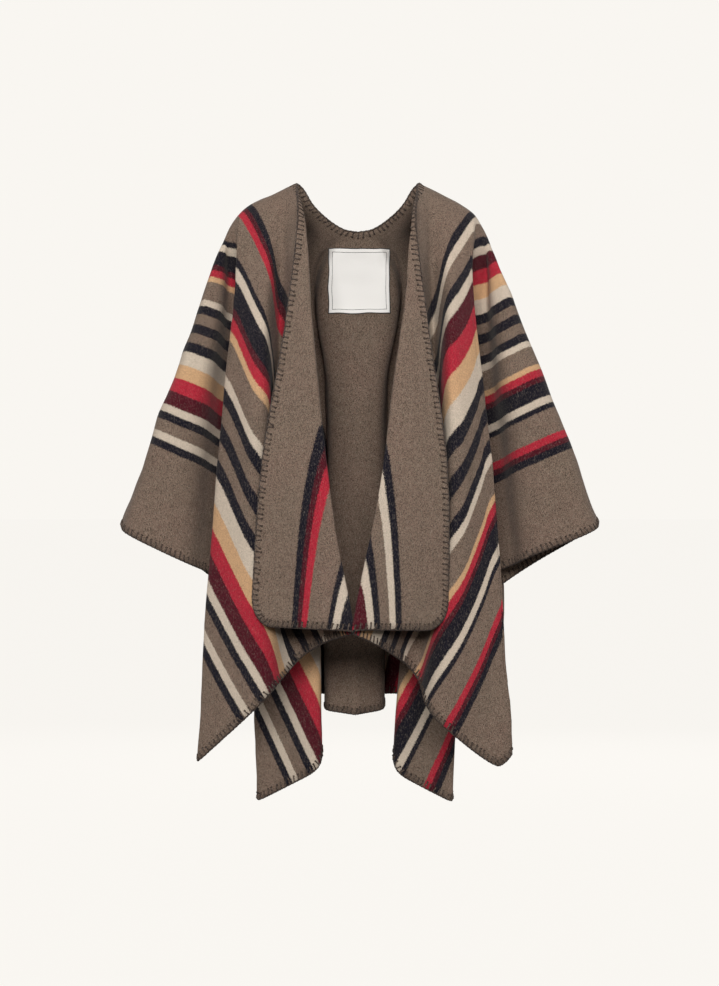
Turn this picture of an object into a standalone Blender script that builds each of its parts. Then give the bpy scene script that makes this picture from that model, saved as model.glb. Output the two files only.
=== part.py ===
"""Open-front blanket poncho (ruana), hanging as it is worn, with no wearer inside.

One rectangle of woven, fulled wool cloth is slit up the centre of the front and past the shoulder
line. It hangs from both shoulders. The front edges are turned out as lapels, and the arms lift the
cloth, which falls in folds at the front, under the arms and at the back. The solids divide the
blanket into panels with narrow gaps, along the ridge and where the cloth is nearly flat, and one
label is sewn inside the back of the neck.

Frame: metres, +Z up, the wearer faces -Y, the origin is midway between the two neck points. Left and
right are as seen from the front.

Cloth coordinates, in cm: u runs out from the centre slit, v runs down the front from the shoulder
line (negative down the back). Each half of the cloth is crossed by guides: fold lines and the soft
lines between them. A guide starts on the top line (the shoulder and arm ridge, or the neck slit at
the back) and ends on the cut edge. The tables give where each guide hangs, and the cloth's own
length along it says how far each part of it has fallen.
"""

import bmesh
import bpy
import numpy as np

CM = 0.01

# The flat cut, in cm
HALF_WIDTH = 70.5
FRONT_LENGTH = 81.0
BACK_LENGTH = 98.5
CORNER_RADIUS = 5.0
RIDGE_FORWARD = 2.5          # how far in front of the neck points the arm ridge runs on the cloth
SHOULDER = 11.6              # u of the shoulder point, where the ridge has come that far forward

CLOTH_THICKNESS = 0.32
SEAM_GAP = 0.22
LABEL_WIDTH = 11.1
LABEL_HEIGHT = 11.6
LABEL_THICKNESS = 0.08
LABEL_CLEARANCE = 0.10
LABEL_CENTRE = 0.2
LABEL_CELLS = 12
LABEL_REACH = 7              # columns of the back that the label may lie on
LABEL_DROP = 2.6             # from the neck edge to the label's top edge

# Mesh: rows down each guide, and the cloth length that one column covers
ROWS = 20
SEAM_ROW = 0.005             # share of a guide's length covered by the narrow first row
COLUMN_WIDTH = 5.2
FOLD_COLUMN_WEIGHT = 2.4     # cm of extra width that one radian of turning counts as

# Shares of a guide's length at which the tables place it
LEVELS = (0.0, 0.12, 0.35, 0.65, 1.0)

# The shoulder and arm ridge: u on the cloth, then out from the centre, depth and height
RIDGE = {
    "left": (
        (0.0, 10.7, 0.0, 0.0),
        (4.7, 15.0, -0.5, -2.1),
        (7.2, 17.0, -0.9, -3.0),
        (11.7, 20.4, -1.5, -5.2),
        (15.0, 22.3, -1.3, -7.7),
        (18.2, 23.7, -1.0, -10.8),
        (36.5, 30.1, 0.0, -28.3),
        (70.5, 41.3, 0.0, -59.7),
    ),
    "right": (
        (0.0, 10.5, 0.0, 0.0),
        (4.9, 14.9, -0.6, -2.1),
        (8.0, 17.6, -1.0, -3.6),
        (11.2, 20.1, -1.5, -5.6),
        (13.3, 21.2, -1.4, -7.4),
        (22.8, 24.9, -0.6, -15.9),
        (70.5, 42.0, 0.0, -59.2),
    ),
}

# The neck edge behind the neck points: distance along the slit, then out, depth and height
NECK = (
    (0.0, 10.6, 0.0, 0.0),
    (1.4, 9.7, 0.9, -0.8),
    (4.2, 8.0, 2.4, -3.4),
    (7.5, 5.5, 4.6, -5.7),
    (11.0, 2.6, 6.6, -7.4),
    (14.0, 0.0, 7.2, -7.9),
)

# Guides. top: u on the ridge, or minus the distance down the slit behind the neck.
# edge: distance along the cut edge, from the centre along the hem and up the side.
# soft: how much of the cloth to each neighbour the bend takes up, 0.5 for a round swell.
# lean: depth gained for each cm of cloth where the guide leaves the top line.
# bow: above 1.0 the guide keeps to small u for longer on the flat cloth.
# Then how far out and how deep it hangs at each level, and the height of its end.
GUIDE_COLUMNS = ("name", "top", "edge", "soft", "lean", "bow",
                 "out_1", "deep_1", "out_2", "deep_2", "out_3", "deep_3", "out_4", "deep_4", "end")

FRONT = {
    "left": (
        ("lapel edge", 0.0, 0.0, 0.00, -0.92, 1.00, 10.3, -7.9, 12.0, -13.4, 16.1, -15.2, 18.3, -14.0, -76.7),
        ("lapel roll", 0.5, 21.2, 0.30, -0.96, 1.40, 9.2, -7.6, 8.0, -15.0, 5.7, -18.3, 1.2, -20.5, -77.3),
        ("under roll", 1.2, 28.9, 0.30, -0.96, 1.25, 10.9, -6.4, 10.3, -12.3, 9.0, -13.0, 5.5, -12.5, -79.5),
        ("under lapel", 2.4, 36.4, 0.40, -0.96, 1.05, 13.2, -4.6, 13.6, -5.2, 14.2, -6.2, 10.5, -6.2, -83.1),
        ("front swell", 6.2, 49.2, 0.40, -0.96, 1.00, 16.3, -6.0, 16.8, -11.6, 17.6, -13.2, 16.3, -12.8, -89.6),
        ("front fold", 12.1, 64.2, 0.15, -0.96, 1.00, 20.9, -4.8, 22.9, -7.9, 25.5, -8.7, 27.4, -7.5, -100.1),
        ("corner", 12.6, 70.5, 0.40, -0.94, 1.00, 20.6, -3.8, 21.0, -5.6, 22.4, -6.2, 24.4, -5.0, -96.0),
        ("fold back", 13.0, 87.0, 0.40, -0.92, 1.00, 20.2, -2.6, 18.2, -3.2, 17.2, -3.3, 16.8, -2.2, -87.0),
        ("underarm", 14.4, 103.5, 0.25, -0.90, 1.00, 20.4, -0.8, 15.5, 0.1, 11.0, 0.8, 7.5, 1.4, -78.0),
        ("sleeve front", 16.0, 126.0, 0.40, -0.90, 1.03, 22.6, 0.2, 22.6, 1.9, 23.2, 1.4, 23.8, 0.0, -69.0),
        ("sleeve wall", 17.3, 133.0, 0.35, -0.90, 0.98, 23.6, -2.6, 25.4, -5.4, 28.2, -6.2, 30.4, -5.6, -65.8),
        ("sleeve nose", 18.6, 143.8, 0.45, -0.90, 1.00, 25.5, -3.6, 29.0, -6.0, 34.3, -7.2, 39.2, -6.8, -61.4),
    ),
    "right": (
        ("lapel edge", 0.0, 0.0, 0.00, -0.92, 1.00, 9.9, -7.9, 11.6, -13.4, 15.0, -15.0, 15.4, -13.4, -77.5),
        ("lapel roll", 0.6, 20.0, 0.30, -0.96, 1.30, 9.3, -7.6, 7.4, -15.0, 4.4, -18.3, -0.5, -20.5, -77.2),
        ("under roll", 1.4, 29.0, 0.30, -0.96, 1.20, 10.6, -6.4, 9.8, -12.5, 8.0, -13.5, 4.4, -14.0, -80.5),
        ("under lapel", 2.6, 40.0, 0.40, -0.96, 1.10, 12.8, -4.6, 13.2, -5.0, 13.2, -6.2, 9.6, -7.0, -85.0),
        ("front swell", 6.0, 50.0, 0.40, -0.96, 1.00, 15.9, -6.0, 16.3, -11.6, 16.8, -13.2, 13.0, -12.8, -92.1),
        ("hem end", 9.2, 65.5, 0.45, -0.96, 1.08, 18.4, -5.6, 20.2, -9.4, 21.7, -11.2, 22.5, -10.5, -100.1),
        ("corner", 10.3, 70.5, 0.35, -0.96, 1.10, 19.0, -5.2, 21.0, -8.8, 23.2, -10.4, 25.4, -9.7, -100.2),
        ("front fold", 11.2, 76.0, 0.20, -0.96, 1.12, 19.4, -4.8, 21.7, -7.9, 24.2, -9.5, 26.2, -8.6, -98.2),
        ("fold back", 12.0, 92.0, 0.45, -0.92, 1.00, 19.2, -2.6, 18.2, -3.4, 17.3, -3.6, 16.9, -2.8, -87.0),
        ("underarm", 13.6, 108.2, 0.25, -0.90, 1.00, 20.4, -0.8, 15.5, 0.1, 11.0, 0.8, 7.5, 1.4, -75.5),
        ("sleeve front", 15.4, 126.0, 0.40, -0.90, 1.03, 22.6, 0.2, 22.6, 1.9, 23.4, 1.4, 24.1, 0.0, -67.8),
        ("sleeve wall", 16.8, 133.0, 0.35, -0.90, 1.00, 23.2, -2.6, 25.0, -5.4, 27.2, -6.4, 29.8, -5.8, -65.0),
        ("sleeve nose", 18.4, 143.8, 0.45, -0.90, 0.98, 25.3, -3.6, 29.2, -6.0, 34.7, -7.2, 39.9, -6.8, -60.9),
    ),
}

BACK = {
    "left": (
        ("centre", -14.0, 0.0, 0.00, 0.35, 1.00, 0.0, 9.9, 0.0, 10.5, 0.2, 10.4, 0.5, 9.9, -93.6),
        ("centre edge", -12.0, 6.8, 0.34, 0.40, 1.00, 6.2, 10.0, 4.6, 11.6, 5.2, 12.3, 5.9, 12.8, -92.9),
        ("back tube in", -9.0, 19.8, 0.35, 0.45, 1.00, 8.1, 11.5, 6.3, 17.4, 5.8, 19.2, 4.6, 20.0, -90.6),
        ("back tube out", -5.0, 26.0, 0.40, 0.55, 1.00, 11.2, 12.4, 11.6, 18.0, 12.3, 19.8, 11.5, 20.5, -91.8),
        ("inner fold", 3.0, 46.2, 0.35, 0.96, 1.00, 15.6, 8.2, 14.6, 11.0, 8.1, 6.0, 6.4, 3.6, -101.1),
        ("tail fold", 12.1, 61.2, 0.15, 0.96, 1.00, 19.8, 6.6, 19.8, 9.4, 18.9, 9.4, 17.5, 6.8, -108.4),
        ("corner", 12.9, 70.5, 0.40, 0.96, 1.00, 20.5, 6.8, 19.6, 11.3, 17.4, 12.4, 14.8, 10.5, -104.0),
        ("back valley", 13.7, 91.0, 0.40, 0.96, 1.00, 21.2, 6.8, 19.8, 13.0, 15.4, 15.0, 12.6, 13.5, -97.0),
        ("back fold", 14.6, 114.0, 0.30, 0.94, 1.00, 22.2, 6.2, 24.4, 12.8, 25.8, 16.0, 26.2, 15.9, -88.5),
        ("underarm", 15.6, 139.0, 0.30, 0.92, 1.00, 22.7, 4.0, 22.6, 5.2, 21.9, 5.7, 21.0, 5.4, -74.5),
        ("sleeve back", 17.2, 153.5, 0.40, 0.90, 1.00, 23.9, 3.3, 25.6, 4.4, 28.2, 4.8, 30.0, 4.4, -65.8),
        ("sleeve nose", 19.0, 166.5, 0.45, 0.90, 1.00, 25.6, 2.9, 29.0, 4.2, 34.3, 4.5, 39.2, 4.4, -61.3),
    ),
    "right": (
        ("centre", -14.0, 0.0, 0.00, 0.35, 1.00, 0.0, 9.9, 0.0, 10.5, -0.2, 10.4, -0.5, 9.9, -93.6),
        ("centre edge", -12.0, 6.8, 0.34, 0.40, 1.00, 6.2, 10.0, 4.2, 11.6, 4.3, 12.3, 4.1, 12.8, -92.9),
        ("back tube in", -9.0, 17.5, 0.35, 0.45, 1.00, 8.1, 11.5, 5.9, 17.4, 5.4, 19.2, 3.8, 20.0, -90.6),
        ("back tube out", -5.0, 25.0, 0.40, 0.55, 1.00, 11.2, 12.4, 11.6, 18.0, 12.3, 19.8, 11.3, 20.5, -91.8),
        ("inner fold", 3.0, 45.0, 0.35, 0.96, 1.00, 15.4, 8.2, 14.4, 11.0, 9.4, 6.0, 6.3, 3.6, -101.6),
        ("tail fold", 11.2, 59.2, 0.15, 0.96, 1.00, 19.6, 6.6, 19.6, 9.4, 18.6, 9.4, 16.4, 6.8, -108.6),
        ("corner", 12.2, 70.5, 0.40, 0.96, 1.00, 20.3, 6.8, 19.4, 11.3, 17.0, 12.4, 14.3, 10.5, -104.0),
        ("back valley", 13.1, 91.0, 0.40, 0.96, 1.00, 21.0, 6.8, 19.6, 13.0, 15.2, 15.0, 12.4, 13.5, -97.0),
        ("back fold", 14.0, 114.0, 0.30, 0.94, 1.00, 22.0, 6.2, 24.2, 12.8, 25.6, 16.0, 26.0, 15.9, -88.5),
        ("underarm", 15.2, 139.0, 0.30, 0.92, 1.00, 22.5, 4.0, 22.6, 5.2, 22.1, 5.7, 21.4, 5.4, -74.5),
        ("sleeve back", 17.0, 153.5, 0.40, 0.90, 1.00, 23.8, 3.3, 25.6, 4.4, 28.2, 4.8, 30.0, 4.6, -67.0),
        ("sleeve nose", 19.0, 166.5, 0.45, 0.90, 1.00, 25.4, 2.9, 29.2, 4.2, 34.7, 4.5, 39.9, 4.4, -61.2),
    ),
}
ARM_RIDGE_TOP = 19.6         # u where the last guide, the arm ridge itself, begins

# The panels that each half is divided into: a name, and the first guide on it. A panel starts halfway
# between that guide and the one before it, where the cloth is nearly flat.
FRONT_PANELS = (("front", "lapel edge"), ("front_fold", "fold back"), ("sleeve_front", "sleeve front"))
BACK_PANELS = (("back_centre", "centre"), ("back_side", "inner fold"), ("back_fold", "back fold"),
               ("sleeve_back", "underarm"))
PANEL_GAP = 0.10

COLOURS = {
    "cloth": ((0.17, 0.13, 0.11), 0.92),
    "label": ((0.80, 0.76, 0.70), 0.70),
}


def smooth_through(stops, values, at, first_slope=None):
    """Read a smooth curve through the values, one row for each stop, at the given places."""
    stops, values, at = np.asarray(stops), np.asarray(values, float), np.asarray(at, float)
    if values.ndim == 1:
        values = values[:, None]
    chords = np.diff(values, axis=0) / np.diff(stops)[:, None]
    spans = np.diff(stops)[:, None]
    slopes = np.vstack([chords[:1], chords[-1:]]) if len(stops) == 2 else np.vstack([
        chords[:1],
        (chords[:-1] * spans[1:] + chords[1:] * spans[:-1]) / (spans[1:] + spans[:-1]),
        chords[-1:],
    ])
    if first_slope is not None:
        slopes[0] = first_slope
    piece = np.clip(np.searchsorted(stops, at, side="right") - 1, 0, len(stops) - 2)
    span = spans[piece]
    s = ((at - stops[piece]) / span[:, 0])[:, None]
    return (
        values[piece] * (1 + 2 * s) * (1 - s) ** 2
        + values[piece + 1] * s ** 2 * (3 - 2 * s)
        + slopes[piece] * span * s * (1 - s) ** 2
        + slopes[piece + 1] * span * s ** 2 * (s - 1)
    )


def ridge_point(side, u):
    """The shoulder and arm ridge in space, at distance u out on the cloth."""
    rows = np.array(RIDGE[side])
    return smooth_through(rows[:, 0], rows[:, 1:], np.atleast_1d(u))


def ridge_cloth(u):
    """The same ridge on the flat cloth: it runs forward to the shoulder point, then straight."""
    return np.array([u, RIDGE_FORWARD * min(u / SHOULDER, 1.0)])


def top_point(side, top):
    """Where a guide starts: in space and on the cloth."""
    if top >= 0.0:
        return ridge_point(side, top)[0], ridge_cloth(top)
    rows = np.array(NECK)
    return smooth_through(rows[:, 0], rows[:, 1:], [-top])[0], np.array([0.0, top])


def cut_edge(distance, length):
    """A point of the cut edge: along the hem, round the corner and up the side."""
    across = max(HALF_WIDTH - distance, 0.0)
    down = max(distance - HALF_WIDTH, 0.0)
    across, down = round_corner(np.array([across]), np.array([down]))
    return np.array([HALF_WIDTH - across[0], length - down[0]])


def round_corner(across, down):
    """Move points near a square corner, given by their distances from its sides, into its arc."""
    depth = np.minimum(across, down)
    from_centre = np.stack([across, down]) - CORNER_RADIUS
    reach = np.maximum(np.hypot(*from_centre), 1e-9)
    inside = (across < CORNER_RADIUS) & (down < CORNER_RADIUS)
    moved = CORNER_RADIUS + from_centre * (CORNER_RADIUS - depth) / reach
    return np.where(inside, moved[0], across), np.where(inside, moved[1], down)


def hang_guide(side, row, length_sign, edge_length, shares):
    """Positions of one guide at the given shares of its length."""
    guide = dict(zip(GUIDE_COLUMNS, row))
    start, start_cloth = top_point(side, guide["top"])
    end_cloth = cut_edge(guide["edge"], edge_length) * (1.0, length_sign)
    length = float(np.hypot(*(end_cloth - start_cloth)))
    out = [start[0]] + [guide[f"out_{level}"] for level in (1, 2, 3, 4)]
    deep = [start[1]] + [guide[f"deep_{level}"] for level in (1, 2, 3, 4)]
    fine = np.linspace(0.0, 1.0, 241)
    out_fine = smooth_through(LEVELS, out, fine)[:, 0]
    deep_fine = smooth_through(LEVELS, deep, fine, guide["lean"] * length)[:, 0]
    sideways = np.gradient(out_fine, fine) ** 2 + np.gradient(deep_fine, fine) ** 2
    fall = np.sqrt(np.maximum(length ** 2 - sideways, (0.12 * length) ** 2))
    fallen = np.concatenate([[0.0], np.cumsum((fall[1:] + fall[:-1]) / 2)])
    height = start[2] + (guide["end"] - start[2]) * fallen / fallen[-1]
    curve = np.column_stack([out_fine, deep_fine, height])
    return np.column_stack([np.interp(shares, fine, curve[:, axis]) for axis in range(3)])


def hang_arm_ridge(side, shares):
    """The last guide of both front and back: the arm ridge out to its tip."""
    return ridge_point(side, ARM_RIDGE_TOP + (HALF_WIDTH - ARM_RIDGE_TOP) * shares)


def bend_across(points, softness, steps=9):
    """One row of the cloth: a curve through the guides, rounded at each one by its softness.

    Returns the curve and the index of each guide's own point on it."""
    control = points.copy()
    for _ in range(12):
        lean_in = control[:-2] + control[2:] - 2.0 * control[1:-1]
        control[1:-1] = points[1:-1] - 0.25 * softness[1:-1, None] * lean_in
    curve, own = [points[0]], [0]
    s = np.linspace(0.0, 1.0, 2 * steps + 1)[:, None]
    for here in range(1, len(points) - 1):
        start = control[here] + softness[here] * (control[here - 1] - control[here])
        end = control[here] + softness[here] * (control[here + 1] - control[here])
        own.append(len(curve) + steps)
        curve.extend((1 - s) ** 2 * start + 2 * s * (1 - s) * control[here] + s ** 2 * end)
    curve.append(points[-1])
    own.append(len(curve) - 1)
    return np.array(curve), own


def share_columns(curve, own, columns):
    """Spread each stretch's columns along its length, closer where the cloth turns."""
    steps = np.diff(curve, axis=0)
    lengths = np.linalg.norm(steps, axis=1)
    headings = steps / np.maximum(lengths, 1e-9)[:, None]
    turns = np.arccos(np.clip(np.sum(headings[1:] * headings[:-1], axis=1), -1.0, 1.0))
    turning = np.concatenate([[0.0], turns]) / 2 + np.concatenate([turns, [0.0]]) / 2
    reach = np.linalg.norm(curve[own[-1]] - curve[own[0]])
    along = np.concatenate([[0.0], np.cumsum(lengths)])
    weight = np.concatenate([[0.0], np.cumsum(
        lengths + FOLD_COLUMN_WEIGHT * turning * min(1.0, reach / 30.0))])
    places, shares = [], []
    for stretch, count in enumerate(columns):
        first, last = own[stretch], own[stretch + 1]
        picks = np.linspace(weight[first], weight[last], count + 1)
        picks = picks if stretch == len(columns) - 1 else picks[:-1]
        at = np.interp(picks, weight, along)
        places.extend(at)
        shares.extend(stretch + (at - along[first]) / max(along[last] - along[first], 1e-9))
    points = np.column_stack([np.interp(places, along, curve[:, axis]) for axis in range(3)])
    return points, np.array(shares)


def hang_patch(side, table, length_sign, edge_length, row_count, column_width):
    """A grid of the cloth between its first guide and the arm ridge: positions and cloth (u, v)."""
    shares = np.linspace(0.0, 1.0, row_count + 1) ** 1.15
    shares = np.insert(shares, 1, SEAM_ROW)
    guides = [hang_guide(side, row, length_sign, edge_length, shares) for row in table]
    guides.append(hang_arm_ridge(side, shares))
    guides = np.array(guides)
    softness = np.array([row[3] for row in table] + [0.0])
    bows = np.array([row[5] for row in table] + [1.0])
    tops = np.array([row[1] for row in table] + [ARM_RIDGE_TOP])
    edges = np.array([row[2] for row in table] + [HALF_WIDTH + edge_length - RIDGE_FORWARD * length_sign])
    columns = [max(2, round(gap / column_width)) for gap in np.diff(edges)]
    grid, cloth = [], []
    for row, share in enumerate(shares):
        curve, own = bend_across(guides[:, row], softness)
        points, guide_shares = share_columns(curve, own, columns)
        guide_numbers = np.arange(len(tops))
        row_tops = np.interp(guide_shares, guide_numbers, tops)
        row_edges = np.interp(guide_shares, guide_numbers, edges)
        starts = np.array([top_point(side, top)[1] for top in row_tops])
        ends = np.array([cut_edge(edge, edge_length) for edge in row_edges]) * (1.0, length_sign)
        row_bows = np.interp(guide_shares, guide_numbers, bows)
        progress = np.column_stack([share ** row_bows, np.full(len(row_bows), share)])
        grid.append(points)
        cloth.append(starts + (ends - starts) * progress)
    grid, cloth = np.array(grid), np.array(cloth)
    grid[0] = [top_point(side, top)[0] for top in np.interp(guide_shares, guide_numbers, tops)]
    return grid, cloth, np.concatenate([[0], np.cumsum(columns)])


def round_lapel_corner(grid, cloth, roll_edge):
    """Round the lapel's free corner: the cloth there is flat, so its points slide in its plane."""
    roll_column = int(np.argmin(np.abs(cloth[-1, :, 0] - roll_edge)))
    along_u = (grid[-1, roll_column] - grid[-1, 0]) / cloth[-1, roll_column, 0]
    along_v = (grid[-1, 0] - grid[-4, 0]) / (cloth[-1, 0, 1] - cloth[-4, 0, 1])
    across, down = cloth[..., 0].copy(), FRONT_LENGTH - cloth[..., 1]
    moved_across, moved_down = round_corner(across, down)
    grid += (moved_across - across)[..., None] * along_u
    grid -= (moved_down - down)[..., None] * along_v
    cloth[..., 0], cloth[..., 1] = moved_across, FRONT_LENGTH - moved_down


def front_grid(side, row_count=ROWS, column_width=COLUMN_WIDTH):
    grid, cloth, guide_columns = hang_patch(side, FRONT[side], 1.0, FRONT_LENGTH, row_count, column_width)
    round_lapel_corner(grid, cloth, FRONT[side][1][2])
    grid[..., 1] -= SEAM_GAP
    return grid, cloth, guide_columns


def back_grid(side, row_count=ROWS, column_width=COLUMN_WIDTH):
    return hang_patch(side, BACK[side], -1.0, BACK_LENGTH, row_count, column_width)


def divide_panels(grid, guide_columns, table, panels):
    """The grid's panels by name, each drawn back a little where it meets the next."""
    guides = [row[0] for row in table]
    firsts = [guides.index(first) for _, first in panels]
    starts = [(guide_columns[first - 1] + guide_columns[first]) // 2 if first else 0 for first in firsts]
    divided = {}
    for (name, _), start, end in zip(panels, starts, starts[1:] + [guide_columns[-1]]):
        panel = grid[:, start:end + 1].copy()
        for border, inner, is_cut in ((0, 1, start > 0), (-1, -2, end < guide_columns[-1])):
            if is_cut:
                inward = panel[:, inner] - panel[:, border]
                inward /= np.linalg.norm(inward, axis=1)[:, None]
                panel[:, border] += inward * PANEL_GAP / 2
        divided[name] = panel
    return divided


def cloth_object(name, grids, collection, material):
    """One solid of cloth from one or more grids that share their first columns."""
    mesh = bpy.data.meshes.new(name)
    shape = bmesh.new()
    for grid, outward in grids:
        points = grid * (outward, 1.0, 1.0) * CM
        rows = [[shape.verts.new(point) for point in row] for row in points]
        for upper, lower in zip(rows, rows[1:]):
            for column in range(len(upper) - 1):
                corners = (upper[column], lower[column], lower[column + 1], upper[column + 1])
                shape.faces.new(corners if outward > 0 else corners[::-1])
    bmesh.ops.remove_doubles(shape, verts=shape.verts, dist=1e-5)
    shape.to_mesh(mesh)
    shape.free()
    mesh.shade_smooth()
    mesh.materials.append(material)
    obj = bpy.data.objects.new(name, mesh)
    collection.objects.link(obj)
    shell = obj.modifiers.new("Cloth thickness", "SOLIDIFY")
    shell.thickness = CLOTH_THICKNESS * CM
    shell.offset = 0.0
    return obj


def back_depth(grid, out, height):
    """How deep the back lies at a place seen from the front."""
    rows = grid[:, :LABEL_REACH]
    heights = np.array([np.interp(out, row[:, 0], row[:, 2]) for row in rows])
    depths = np.array([np.interp(out, row[:, 0], row[:, 1]) for row in rows])
    return float(np.interp(-height, -heights, depths))


def label_object(collection, material):
    """The label: a thin square that follows the inside of the back, below the neck edge."""
    grid = back_grid("left")[0]
    stand_off = CLOTH_THICKNESS / 2 + LABEL_THICKNESS / 2 + LABEL_CLEARANCE
    top = NECK[-1][3] - LABEL_DROP
    mesh = bpy.data.meshes.new("neck_label")
    shape = bmesh.new()
    verts = []
    for height in np.linspace(top, top - LABEL_HEIGHT, LABEL_CELLS + 1):
        outs = LABEL_CENTRE + np.linspace(-0.5, 0.5, LABEL_CELLS + 1) * LABEL_WIDTH
        line = [(out, back_depth(grid, abs(out), height) - stand_off, height) for out in outs]
        verts.append([shape.verts.new(np.array(point) * CM) for point in line])
    for upper, lower in zip(verts, verts[1:]):
        for column in range(LABEL_CELLS):
            shape.faces.new((upper[column], lower[column], lower[column + 1], upper[column + 1]))
    shape.to_mesh(mesh)
    shape.free()
    mesh.materials.append(material)
    obj = bpy.data.objects.new("neck_label", mesh)
    collection.objects.link(obj)
    shell = obj.modifiers.new("Label thickness", "SOLIDIFY")
    shell.thickness = LABEL_THICKNESS * CM
    shell.offset = 0.0
    return obj


def make_material(name, colour, roughness):
    material = bpy.data.materials.new(name)
    material.use_nodes = True
    shader = material.node_tree.nodes["Principled BSDF"]
    shader.inputs["Base Color"].default_value = (*colour, 1.0)
    shader.inputs["Roughness"].default_value = roughness
    shader.inputs["Metallic"].default_value = 0.0
    return material


def main():
    for old in list(bpy.data.objects):
        bpy.data.objects.remove(old, do_unlink=True)
    collection = bpy.data.collections.new("blanket_poncho")
    bpy.context.scene.collection.children.link(collection)
    centres = []
    for side, outward in (("left", -1.0), ("right", 1.0)):
        grid, _, guide_columns = front_grid(side)
        panels = divide_panels(grid, guide_columns, FRONT[side], FRONT_PANELS)
        grid, _, guide_columns = back_grid(side)
        panels |= divide_panels(grid, guide_columns, BACK[side], BACK_PANELS)
        centres.append((panels.pop("back_centre"), outward))
        for name, panel in panels.items():
            material = make_material(f"wool cloth {name} {side}", *COLOURS["cloth"])
            cloth_object(f"{name}_{side}", [(panel, outward)], collection, material)
    cloth_object("back_centre", centres, collection, make_material("wool cloth back", *COLOURS["cloth"]))
    label_object(collection, make_material("woven label", *COLOURS["label"]))


main()
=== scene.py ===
"""Dresses the blanket poncho: fulled wool with woven stripes, stitched edges and a plain label.

The cloth is cut flat as a grid of panels and then hung: each half is crossed by guides, the fold
lines and the soft lines between them, which run from the shoulder and arm ridge, or from the neck
slit, down to the cut edge. Lengths in the tables are in cm and the scene is in metres. u runs out
from the centre slit, v runs down the front from the shoulder line, negative down the back.
"""

import bmesh
import bpy
import numpy as np
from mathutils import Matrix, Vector, noise


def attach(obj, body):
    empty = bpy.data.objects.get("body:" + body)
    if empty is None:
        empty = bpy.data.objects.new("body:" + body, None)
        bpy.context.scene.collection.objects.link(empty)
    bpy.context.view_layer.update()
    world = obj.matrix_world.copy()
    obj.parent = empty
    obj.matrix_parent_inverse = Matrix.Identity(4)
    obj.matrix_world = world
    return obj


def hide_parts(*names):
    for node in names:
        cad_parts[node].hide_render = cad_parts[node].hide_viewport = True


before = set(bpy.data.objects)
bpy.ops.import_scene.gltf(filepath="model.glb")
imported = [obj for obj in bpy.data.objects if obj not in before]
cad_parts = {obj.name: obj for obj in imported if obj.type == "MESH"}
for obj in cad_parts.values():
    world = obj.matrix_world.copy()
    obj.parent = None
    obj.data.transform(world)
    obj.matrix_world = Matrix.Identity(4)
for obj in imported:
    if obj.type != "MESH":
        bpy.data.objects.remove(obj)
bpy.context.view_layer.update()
bpy.ops.object.select_all(action="DESELECT")

CM = 0.01

# The flat cut, in cm
HALF_WIDTH = 70.5
FRONT_LENGTH = 81.0
BACK_LENGTH = 98.5
CORNER_RADIUS = 5.0
RIDGE_FORWARD = 2.5          # how far in front of the neck points the arm ridge runs on the cloth
SHOULDER = 11.6              # u of the shoulder point, where the ridge has come that far forward

# Shares of a guide's length at which the tables place it
LEVELS = (0.0, 0.12, 0.35, 0.65, 1.0)

# The shoulder and arm ridge: u on the cloth, then out from the centre, depth and height
RIDGE = {
    "left": (
        (0.0, 10.7, 0.0, 0.0),
        (4.7, 15.0, -0.5, -2.1),
        (7.2, 17.0, -0.9, -3.0),
        (11.7, 20.4, -1.5, -5.2),
        (15.0, 22.3, -1.3, -7.7),
        (18.2, 23.7, -1.0, -10.8),
        (36.5, 30.1, 0.0, -28.3),
        (70.5, 41.3, 0.0, -59.7),
    ),
    "right": (
        (0.0, 10.5, 0.0, 0.0),
        (4.9, 14.9, -0.6, -2.1),
        (8.0, 17.6, -1.0, -3.6),
        (11.2, 20.1, -1.5, -5.6),
        (13.3, 21.2, -1.4, -7.4),
        (22.8, 24.9, -0.6, -15.9),
        (70.5, 42.0, 0.0, -59.2),
    ),
}

# The neck edge behind the neck points: distance along the slit, then out, depth and height
NECK = (
    (0.0, 10.6, 0.0, 0.0),
    (1.4, 9.7, 0.9, -0.8),
    (4.2, 8.0, 2.4, -3.4),
    (7.5, 5.5, 4.6, -5.7),
    (11.0, 2.6, 6.6, -7.4),
    (14.0, 0.0, 7.2, -7.9),
)

# Guides. top: u on the ridge, or minus the distance down the slit behind the neck.
# edge: distance along the cut edge, from the centre along the hem and up the side.
# soft: how much of the cloth to each neighbour the bend takes up, 0.5 for a round swell.
# lean: depth gained for each cm of cloth where the guide leaves the top line.
# bow: above 1.0 the guide keeps to small u for longer on the flat cloth.
# Then how far out and how deep it hangs at each level, and the height of its end.
GUIDE_COLUMNS = ("name", "top", "edge", "soft", "lean", "bow",
                 "out_1", "deep_1", "out_2", "deep_2", "out_3", "deep_3", "out_4", "deep_4", "end")

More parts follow.
